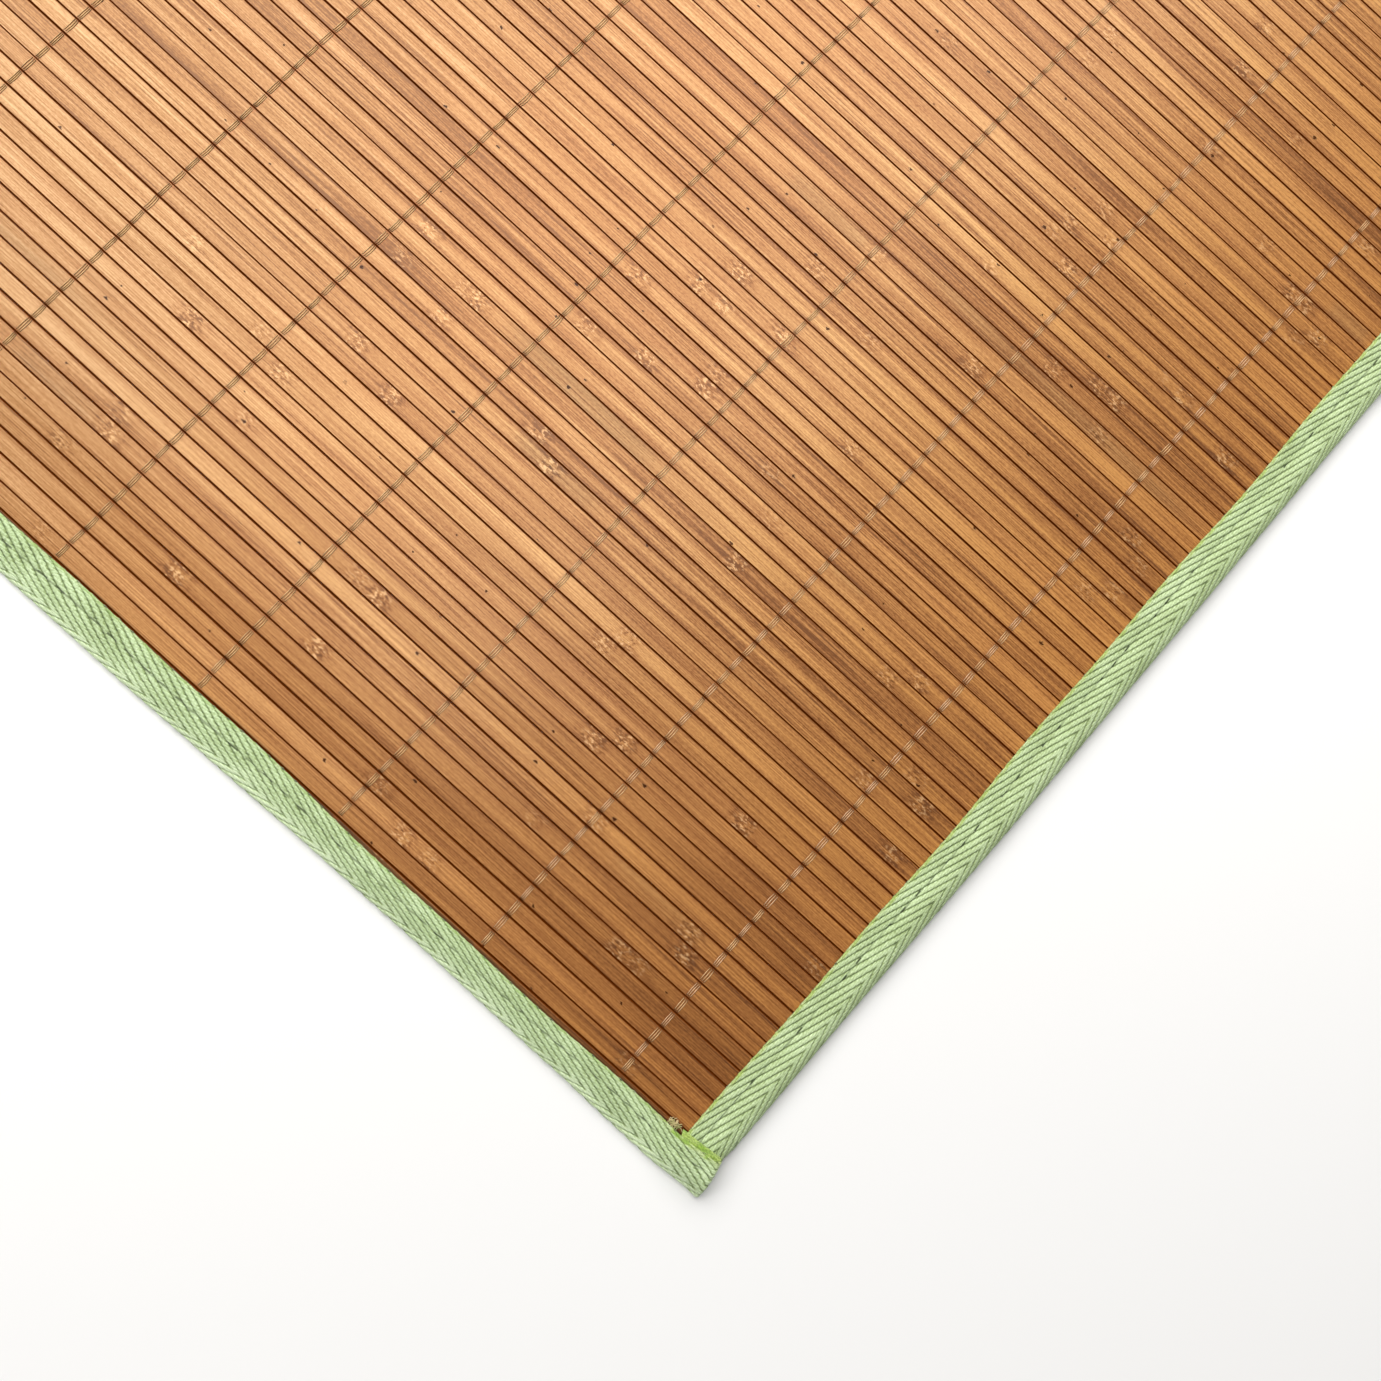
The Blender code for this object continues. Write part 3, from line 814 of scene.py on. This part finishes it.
class Shader:
    """A node material, with a short call for each kind of node that the materials here use."""

    def __init__(self, name, roughness):
        self.material = bpy.data.materials.new(name)
        self.material.use_nodes = True
        self.tree = self.material.node_tree
        self.surface = self.tree.nodes["Principled BSDF"]
        self.surface.inputs["Roughness"].default_value = roughness

    def put(self, socket, value):
        if isinstance(value, bpy.types.NodeSocket):
            self.tree.links.new(value, socket)
        elif isinstance(value, tuple) and len(value) == 3 and socket.type == "RGBA":
            socket.default_value = (*value, 1.0)
        else:
            socket.default_value = value

    def set(self, name, value):
        """Gives one of the surface's own sockets a value."""
        self.put(self.surface.inputs[name], value)

    def math(self, operation, *values):
        node = self.tree.nodes.new("ShaderNodeMath")
        node.operation = operation
        for socket, value in zip(node.inputs, values):
            self.put(socket, value)
        return node.outputs[0]

    mul = partialmethod(math, "MULTIPLY")
    mul_add = partialmethod(math, "MULTIPLY_ADD")
    add = partialmethod(math, "ADD")
    sub = partialmethod(math, "SUBTRACT")
    div = partialmethod(math, "DIVIDE")
    least = partialmethod(math, "MINIMUM")
    most = partialmethod(math, "MAXIMUM")
    size = partialmethod(math, "ABSOLUTE")
    floor = partialmethod(math, "FLOOR")

    def plus(self, start, *parts):
        """start with the parts added, each of them a (value, weight)."""
        for value, weight in parts:
            start = self.mul_add(value, weight, start)
        return start

    def number(self, name, output="Fac"):
        """One of the mesh's own fields."""
        node = self.tree.nodes.new("ShaderNodeAttribute")
        node.attribute_name = name
        return node.outputs[output]

    def triple(self, name):
        return self.number(name, "Vector")

    def split(self, vector):
        node = self.tree.nodes.new("ShaderNodeSeparateXYZ")
        self.put(node.inputs[0], vector)
        return node.outputs[0], node.outputs[1], node.outputs[2]

    def join(self, x, y, z):
        node = self.tree.nodes.new("ShaderNodeCombineXYZ")
        for socket, value in zip(node.inputs, (x, y, z)):
            self.put(socket, value)
        return node.outputs[0]

    def scaled(self, x, by_x, y, by_y, z):
        return self.join(self.mul(x, by_x), self.mul(y, by_y), z)

    def place(self):
        return self.tree.nodes.new("ShaderNodeTexCoord").outputs["Object"]

    def noise(self, vector, detail=2.0, roughness=0.5):
        node = self.tree.nodes.new("ShaderNodeTexNoise")
        self.put(node.inputs["Vector"], vector)
        node.inputs["Scale"].default_value = 1.0
        node.inputs["Detail"].default_value = detail
        node.inputs["Roughness"].default_value = roughness
        return node.outputs["Fac"]

    def swing(self, noise, width):
        """A noise moved to lie about 0, and made width wide."""
        return self.mul(self.sub(noise, 0.5), width)

    def between(self, value, low, high, out_low=0.0, out_high=1.0, smooth=True):
        node = self.tree.nodes.new("ShaderNodeMapRange")
        node.interpolation_type = "SMOOTHSTEP" if smooth else "LINEAR"
        for socket, number in zip(node.inputs[:5], (value, low, high, out_low, out_high)):
            self.put(socket, number)
        return node.outputs[0]

    def fade(self, value, low, high):
        """1 up to low, falling to 0 at high."""
        return self.between(value, low, high, 1.0, 0.0)

    def mix(self, share, a, b, mode="MIX"):
        node = self.tree.nodes.new("ShaderNodeMix")
        node.data_type, node.blend_type = "RGBA", mode
        self.put(node.inputs["Factor"], share)
        # The node's sockets for colours come after those for numbers and vectors.
        self.put(node.inputs[6], a)
        self.put(node.inputs[7], b)
        return node.outputs[2]

    def ramp(self, value, stops):
        node = self.tree.nodes.new("ShaderNodeValToRGB")
        self.put(node.inputs[0], value)
        ramp = node.color_ramp
        while len(ramp.elements) < len(stops):
            ramp.elements.new(0.5)
        for element, (position, colour) in zip(ramp.elements, stops):
            element.position = position
            element.color = (*colour, 1.0)
        return node.outputs[0]

    def bump(self, height, distance, strength):
        node = self.tree.nodes.new("ShaderNodeBump")
        node.inputs["Strength"].default_value = strength
        node.inputs["Distance"].default_value = distance
        self.put(node.inputs["Height"], height)
        return node.outputs[0]


def node_zone(sh, x, places, powers, inner, outer):
    """1 at a slat's growth nodes, falling to 0 between inner and outer metres away from them."""
    zone = 0.0
    for place, power in zip(places, powers):
        away = sh.size(sh.sub(x, place))
        zone = sh.most(zone, sh.mul(sh.fade(away, inner, outer), power))
    return zone


def bamboo_material():
    sh = Shader("bamboo", 0.38)
    x, y, _ = sh.split(sh.place())
    seed = sh.number("slat_seed")
    across = sh.size(sh.number("slat_across"))
    tone, hue, stripe = sh.split(sh.triple("slat_look"))
    places = sh.split(sh.triple("slat_node_x"))
    powers = sh.split(sh.triple("slat_node_power"))
    smear_x, smear_half, smear_power = sh.split(sh.triple("slat_smear"))

    def noise(y, along, across, offset, detail, roughness=0.5):
        """A noise with grains 1/along metres long and 1/across metres wide, another one for each slat."""
        return sh.noise(sh.scaled(x, along, y, across, sh.mul_add(seed, 91.0, offset)), detail, roughness)

    # The fibres are curled round a growth node.
    wide_zone = node_zone(sh, x, places, powers, 2.0 * MM, 6.0 * MM)
    core_zone = node_zone(sh, x, places, powers, 0.6 * MM, 3.6 * MM)
    curl = noise(y, 300, 420, 3.0, 2.0)
    y_bent = sh.add(y, sh.swing(curl, sh.mul(wide_zone, 0.9 * MM)))

    # value is how light the bamboo is: fibres and pores of several sizes, on the slat's own tone.
    band = noise(y_bent, 6, 380, 0.0, 1.0)
    fibre = noise(y_bent, 13, 1350, 11.0, 3.0, 0.6)
    fine = noise(y_bent, 40, 3300, 23.0, 2.0)
    cloud = noise(y, 12, 90, 37.0, 2.0)
    grain = noise(y, 1100, 3600, 43.0, 2.0, 0.6)
    value = sh.mul_add(tone, 0.11, 0.5)
    for layer, weight in ((band, 0.40), (fibre, 0.66), (fine, 1.00), (cloud, 0.42), (grain, 0.62)):
        value = sh.add(value, sh.swing(layer, weight))

    # Towards +X the contrast is stronger and the slats are lighter, with a painted shade near the
    # photographed corner. Their sides are darker.
    gain = sh.mul(sh.between(x, 40 * MM, 150 * MM, 0.0, 0.55), sh.between(y, -250 * MM, -190 * MM, 0.2, 1.0))
    value = sh.add(sh.swing(value, sh.add(gain, 1.0)), 0.5)
    value = sh.add(value, tone_and_corner_shade(sh, x, y))
    value = sh.sub(value, sh.between(across, 0.35, 0.95, 0.0, 0.07))

    # Dark fibres, long ones and short ones
    dark_lines = sh.between(noise(y_bent, 26, 2100, 51.0, 2.0, 0.65), 0.55, 0.66)
    dark_lines = sh.mul(dark_lines, sh.between(stripe, 0.0, 1.0, 0.12, 1.0, smooth=False))
    ticks = sh.between(noise(y_bent, 170, 3600, 57.0, 1.0), 0.66, 0.76)
    ticks = sh.mul(ticks, sh.between(cloud, 0.45, 0.6, 0.0, 0.7))
    dark_lines = sh.most(dark_lines, ticks)

    # Dull blotches and dark pits at a growth node
    blotch = noise(y, 520, 900, 67.0, 3.0, 0.65)
    fleck = noise(y_bent, 900, 1700, 71.0, 2.0, 0.55)
    dull = sh.mul(wide_zone, sh.between(blotch, 0.36, 0.60, 0.30, 0.0))
    pit = sh.mul(sh.between(fleck, 0.42, 0.34), core_zone)
    value = sh.plus(value, (dark_lines, -0.24), (dull, -1.0), (pit, -0.45))

    # Casts of colour: the slat's own, a paler painted sheen towards -X where the glare lies, and that of its
    # weathered stretch
    red = sh.between(hue, 0.1, 1.1, 0.0, 0.3, smooth=False)
    far = sh.between(x, 40 * MM, -30 * MM, 0.0, 0.85)
    yellow = sh.between(hue, -0.1, -1.1, 0.0, 0.3, smooth=False)
    smear = sh.div(sh.size(sh.sub(x, smear_x)), smear_half)
    smear = sh.mul(sh.fade(smear, 0.55, 1.05), smear_power)
    smear = sh.mul(smear, sh.between(band, 0.30, 0.62, 0.35, 1.0))
    colour = sh.ramp(value, BAMBOO_COLOURS)
    for share, cast in ((red, REDDER), (far, PAINTED_GLARE_CAST), (yellow, YELLOWER), (smear, WEATHERED)):
        colour = sh.mix(share, colour, cast, "MULTIPLY")

    # Marks: pale flecks at a growth node and spots; then painted shade by the near end tape, in the gaps at
    # the slat's edges and beside the threads where they cross them
    pale = sh.mul(sh.between(fleck, 0.53, 0.64), core_zone)
    spot, spot_rim = bamboo_spots(sh, x, y)
    shade_by_tape = end_tape_shade(sh, x, y)
    # Painted shade beside each line of threads near the slat's edges, and in the gaps at those edges
    from_line = sh.math("PINGPONG", sh.sub(x, thread_line(0)), THREAD_PITCH / 2)
    shade_by_threads = sh.mul(sh.fade(from_line, 0.5 * MM, 1.1 * MM), sh.between(across, 0.70, 0.98, 0.5, 1.0))
    edge = sh.between(across, 0.905, 0.960)
    for share, mark in ((sh.mul(pale, 0.75), FLECK_PALE), (sh.mul(spot, 0.75), SPOT_BROWN),
                        (sh.mul(spot_rim, 0.6), SPOT_RIM), (shade_by_tape, PAINTED_TAPE_SHADE),
                        (sh.most(edge, sh.mul(shade_by_threads, 0.75)), GAP_SHADE_BROWN)):
        colour = sh.mix(share, colour, mark)

    sh.set("Base Color", colour)
    rough = sh.between(value, 0.15, 0.85, *BAMBOO_ROUGH, smooth=False)
    sh.set("Roughness", sh.plus(rough, (smear, 0.12), (sh.most(spot, edge), 0.6)))
    metal = sh.between(value, 0.1, 0.7, *BAMBOO_METAL, smooth=False)
    metal = sh.most(metal, shade_by_tape)
    sh.set("Metallic", sh.most(metal, sh.most(edge, spot)))
    relief = sh.plus(0.0, (fibre, 0.8), (fine, 0.35), (grain, 0.25), (dark_lines, -0.5),
                     (sh.mul(fleck, core_zone), 1.8))
    sh.set("Normal", sh.bump(relief, 0.05 * MM, 0.6))
    sh.set("IOR", BAMBOO_IOR)
    sh.set("Specular IOR Level", BAMBOO_LEVEL)
    sh.set("Specular Tint", BAMBOO_TINT)
    sh.set("Coat Weight", sh.mul(sh.sub(1.0, edge), BAMBOO_COAT[0]))
    sh.set("Coat Roughness", BAMBOO_COAT[1])
    return sh.material


def tone_and_corner_shade(sh, x, y):
    """How much lighter the slats are in parts of the rug: towards +X, and away from the near corner, which
    gets a painted shade.
    """
    inner = sh.between(y, -255 * MM, -185 * MM)
    across = sh.between(x, 0.0, 165 * MM, -0.16, 0.10, smooth=False)
    corner = sh.mul(sh.between(x, 140 * MM, 185 * MM), sh.between(y, -215 * MM, -260 * MM, 0.0, 0.09))
    return sh.sub(sh.mul(inner, across), corner)


def end_tape_shade(sh, x, y):
    """Painted shade on the slats along the selvage of the near end tape."""
    total = 0.0
    for length, phase in ((EDGE_WAVE_SLOW, 1.0), (EDGE_WAVE_QUICK, 2.0)):
        turn = sh.add(sh.mul(x, 2 * math.pi / length), phase * NEAR_PHASE)
        total = sh.mul_add(sh.math("SINE", turn), EDGE_WAVE / 2, total)
    first = -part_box("end_tape_far")[1].y - END_SECTION[1][0] * MM
    spread = sh.between(x, 120 * MM, 20 * MM, 0.0, NEAR_BULGE[0])
    selvage = sh.add(sh.sub(first, total), spread)
    away = sh.sub(y, selvage)
    reach = sh.between(x, 180 * MM, 90 * MM, 0.55 * MM, 1.0 * MM)
    return sh.mul(sh.fade(sh.div(away, reach), 0.35, 1.0), 0.72)


def bamboo_spots(sh, x, y):
    """Small brown pits, a few to a slat's length, and their darker rims."""
    cells = sh.tree.nodes.new("ShaderNodeTexVoronoi")
    cells.voronoi_dimensions = "2D"
    sh.put(cells.inputs["Vector"], sh.scaled(x, 60, y, 95, 0.0))
    cells.inputs["Scale"].default_value = 1.0
    pick, other, _ = sh.split(cells.outputs["Color"])
    size = sh.between(other, 0.0, 1.0, 0.012, 0.034, smooth=False)
    wobble = sh.noise(sh.scaled(x, 1900, y, 2300, 5.0), 1.0)
    reach = sh.add(cells.outputs["Distance"], sh.swing(wobble, 0.08))
    share = sh.div(reach, size)
    here = sh.between(pick, 0.50, 0.60)
    spot = sh.mul(sh.fade(share, 0.7, 1.1), here)
    rim = sh.mul(sh.between(share, 0.45, 0.85), sh.fade(share, 0.9, 1.15))
    return spot, sh.mul(rim, here)


def thread_line(number):
    """X of a line of threads, counted from the one nearest to the rug's edge at +X."""
    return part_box("side_tape_right")[1].x - THREAD_MARGIN - number * THREAD_PITCH


def thread_material(name):
    sh = Shader(name + " cotton", 0.8)
    along, around, turned = sh.split(sh.triple("strand"))
    turn = sh.plus(0.0, (along, 2 * math.pi / STRAND_PLY), (around, 2 * math.pi))
    ply = sh.mul_add(sh.math("SINE", turn), 0.5, 0.5)
    x, y, z = sh.split(sh.place())
    fuzz = sh.noise(sh.scaled(x, 7000, y, 1500, z), 3.0, 0.6)
    lot = sh.noise(sh.scaled(x, 30, y, 160, z), 1.0)
    shade = sh.plus(0.0, (ply, 0.25), (fuzz, 0.6), (lot, 0.35))
    colour = sh.mix(turned, sh.ramp(shade, THREAD_PALE), sh.ramp(shade, THREAD_DULL))
    # Painted shade on the filaments: at their sides, and deeper where they are down in a gap
    strand_shade = sh.number("strand_shade")
    colour = sh.mix(sh.between(strand_shade, 0.60, 0.95, 0.0, 0.78), colour, THREAD_FLANK_SHADE)
    colour = sh.mix(sh.between(strand_shade, 1.0, 1.8, 0.0, 0.95), colour, THREAD_GAP_SHADE)
    sh.set("Base Color", colour)
    sh.set("Normal", sh.bump(sh.add(ply, fuzz), 0.05 * MM, 0.6))
    sh.set("Specular IOR Level", 0.12)
    return sh.material


def tape_material(name):
    sh = Shader(name + " twill", 0.92)
    lapped = name.startswith("end")
    step = RIDGE_SLOPE[lapped] * YARN
    w, s, phase = sh.split(sh.triple("cloth"))
    selvage = sh.least(w, sh.sub(TAPE_WIDTH, w))

    def noise(across, along, offset, detail, roughness=0.5):
        return sh.noise(sh.scaled(w, across, s, along, offset), detail, roughness)

    # Yarns run along the tape. A float of each starts a step further on than its neighbour's.
    wob = noise(420, 420, 9.0, 2.0)
    yarn = sh.add(sh.div(w, YARN), sh.swing(wob, 1.6))
    number = sh.floor(yarn)
    off = sh.sub(sh.sub(yarn, number), 0.5)
    slope = sh.between(selvage, SPINE - 0.05 * MM, SPINE + 0.05 * MM, step, -step)
    start = sh.add(phase, sh.mul(sh.mul(off, slope), 0.45))
    uneven = noise(900, 500, 17.0, 1.0)
    start = sh.add(start, sh.swing(uneven, 0.9 * MM))
    ridge = sh.math("FRACT", sh.div(start, RIDGE_PITCH))
    from_groove = sh.least(ridge, sh.sub(1.0, ridge))
    groove = sh.fade(from_groove, 0.0, 0.32)
    groove = sh.mul(groove, sh.between(selvage, 0.3 * MM, 1.0 * MM, 0.35, 1.0))
    ply = sh.sub(1.0, sh.mul(sh.mul(off, off), 4.0))

    fuzz = noise(4200, 1900, 3.0, 3.0, 0.7)
    patch = noise(190, 90, 5.0, 2.0)
    light = sh.mul_add(ply, 0.14, TAPE_LIGHT[lapped])
    if lapped:
        # Painted light on the end tapes' outer part, round the fold
        outer = sh.mul(sh.between(w, 5.0 * MM, 8.5 * MM), sh.fade(w, 12 * MM, 15 * MM))
        light = sh.add(light, sh.mul(outer, 0.26))
        groove = sh.mul(groove, sh.between(w, 5.5 * MM, 9.0 * MM, 1.1, 0.8))
    for layer, weight in ((fuzz, 1.2), (patch, 0.55)):
        light = sh.add(light, sh.swing(layer, weight))
    # Painted shade in the grooves between ridges
    light = sh.sub(light, sh.mul(groove, TAPE_GROOVE_SHADE[lapped]))
    colour = sh.ramp(light, TAPE_COLOURS)

    # The selvages are lime, and so is the end that is folded inside.
    lime_noise = noise(500, 260, 13.0, 2.0)
    inside = sh.number("inside")
    from_middle = sh.size(s)
    by_end = sh.between(from_middle, LIME_WIDE_FROM, LIME_WIDE_FROM + 4 * MM, LIME_WIDE[0], LIME_WIDE[lapped])
    lime_width = sh.add(sh.mul(inside, 1.3 * MM), by_end)
    lime_part = sh.fade(sh.sub(selvage, lime_width), 0.0, 0.35 * MM)
    lime = sh.mul(lime_part, sh.most(inside, sh.between(lime_noise, 0.36, 0.56, 0.25, 1.0)))
    strong = sh.most(sh.between(lime_noise, 0.42, 0.60), sh.mul(inside, 0.45))
    tint = sh.mix(strong, LIME_WEAK, LIME_STRONG[lapped])
    tint = sh.mix(sh.between(fuzz, 0.38, 0.62, 0.75, 0.0), tint, LIME_DARK)
    share = sh.between(from_middle, LIME_WIDE_FROM - 3 * MM, LIME_WIDE_FROM + 2 * MM, *LIME_SHARE[lapped])
    colour = sh.mix(sh.mul(lime, share), colour, tint)

    # Painted shade in a hole at most stitches, and a faint painted shadow along the seam's trough from one to
    # the next.
    stitch = sh.add(sh.div(s, STITCH), 0.5)
    count = sh.floor(stitch)
    along = sh.sub(sh.sub(stitch, count), 0.5)
    chance = sh.tree.nodes.new("ShaderNodeTexWhiteNoise")
    chance.noise_dimensions = "1D"
    sh.put(chance.inputs["W"], count)
    beside = sh.size(sh.number("seam"))
    hole = sh.fade(sh.size(along), STITCH_REACH[lapped], STITCH_REACH[lapped] + 0.08)
    hole = sh.mul(hole, sh.fade(beside, 0.10 * MM, 0.28 * MM))
    hole = sh.mul(hole, sh.between(chance.outputs["Value"], *STITCH_PICK[lapped]))
    line = sh.mul(sh.between(beside, 0.05 * MM, 0.34 * MM, 0.5, 0.0), sh.between(patch, 0.35, 0.55))
    colour = sh.mix(sh.most(hole, line), colour, STITCH_SHADE)

    sh.set("Base Color", colour)
    height = sh.mul(sh.sub(1.0, groove), sh.mul(ply, 0.5))
    height = sh.plus(height, (groove, -0.6), (fuzz, 0.9), (hole, -2.0))
    sh.set("Normal", sh.bump(height, 0.13 * MM, 0.85))
    sh.set("Specular IOR Level", 0.15)
    sh.set("Sheen Weight", 0.12)
    sh.set("Sheen Roughness", 0.6)
    return sh.material


def tuft_material():
    sh = Shader("loose yarn", 0.9)
    x, y, z = sh.split(sh.place())
    lot = sh.noise(sh.scaled(x, 900, y, 900, z), 1.0)
    share = sh.add(sh.mul(sh.number("tip"), 0.5), lot)
    sh.set("Base Color", sh.ramp(share, TUFT_COLOURS))
    sh.set("Specular IOR Level", 0.2)
    return sh.material


def floor_material():
    sh = Shader("pale floor", 0.9)
    sh.set("Base Color", FLOOR_COLOUR)
    sh.set("Specular IOR Level", 0.1)
    return sh.material


# Floor and light

def build_floor():
    bpy.ops.mesh.primitive_plane_add(size=8.0, location=(0, 0, -0.05 * MM))
    floor = bpy.context.object
    floor.name = "floor"
    floor.data.materials.append(floor_material())


def area_light(name, place, target, size, power, colour):
    data = bpy.data.lights.new(name, "AREA")
    data.shape = "RECTANGLE"
    data.size, data.size_y = size
    data.energy = power
    data.color = colour
    light = new_object(name, data)
    light.location = place
    aim = Vector(target) - Vector(place)
    light.rotation_euler = aim.to_track_quat("-Z", "Y").to_euler()


def build_light():
    below = (KEY_PLACE[0], KEY_PLACE[1], 0.0)
    area_light("softbox", KEY_PLACE, below, KEY_SIZE, KEY_POWER, KEY_COLOUR)
    area_light("side", SIDE_PLACE, SIDE_TARGET, SIDE_SIZE, SIDE_POWER, SIDE_COLOUR)
    world = bpy.data.worlds.new("studio")
    world.use_nodes = True
    sky = world.node_tree.nodes["Background"].inputs
    sky["Color"].default_value = AMBIENT_COLOUR
    sky["Strength"].default_value = AMBIENT
    bpy.context.scene.world = world
    bpy.context.scene.view_settings.view_transform = "Standard"


def main():
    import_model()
    rug_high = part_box("end_tape_far")[1]
    corner = (rug_high.x, -rug_high.y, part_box("slat_panel")[1].z)
    make_camera(corner)
    edges, drops = build_slats(corner)
    build_threads(edges, drops, corner)
    build_tapes()
    build_tuft(corner[2])
    build_floor()
    build_light()


main()
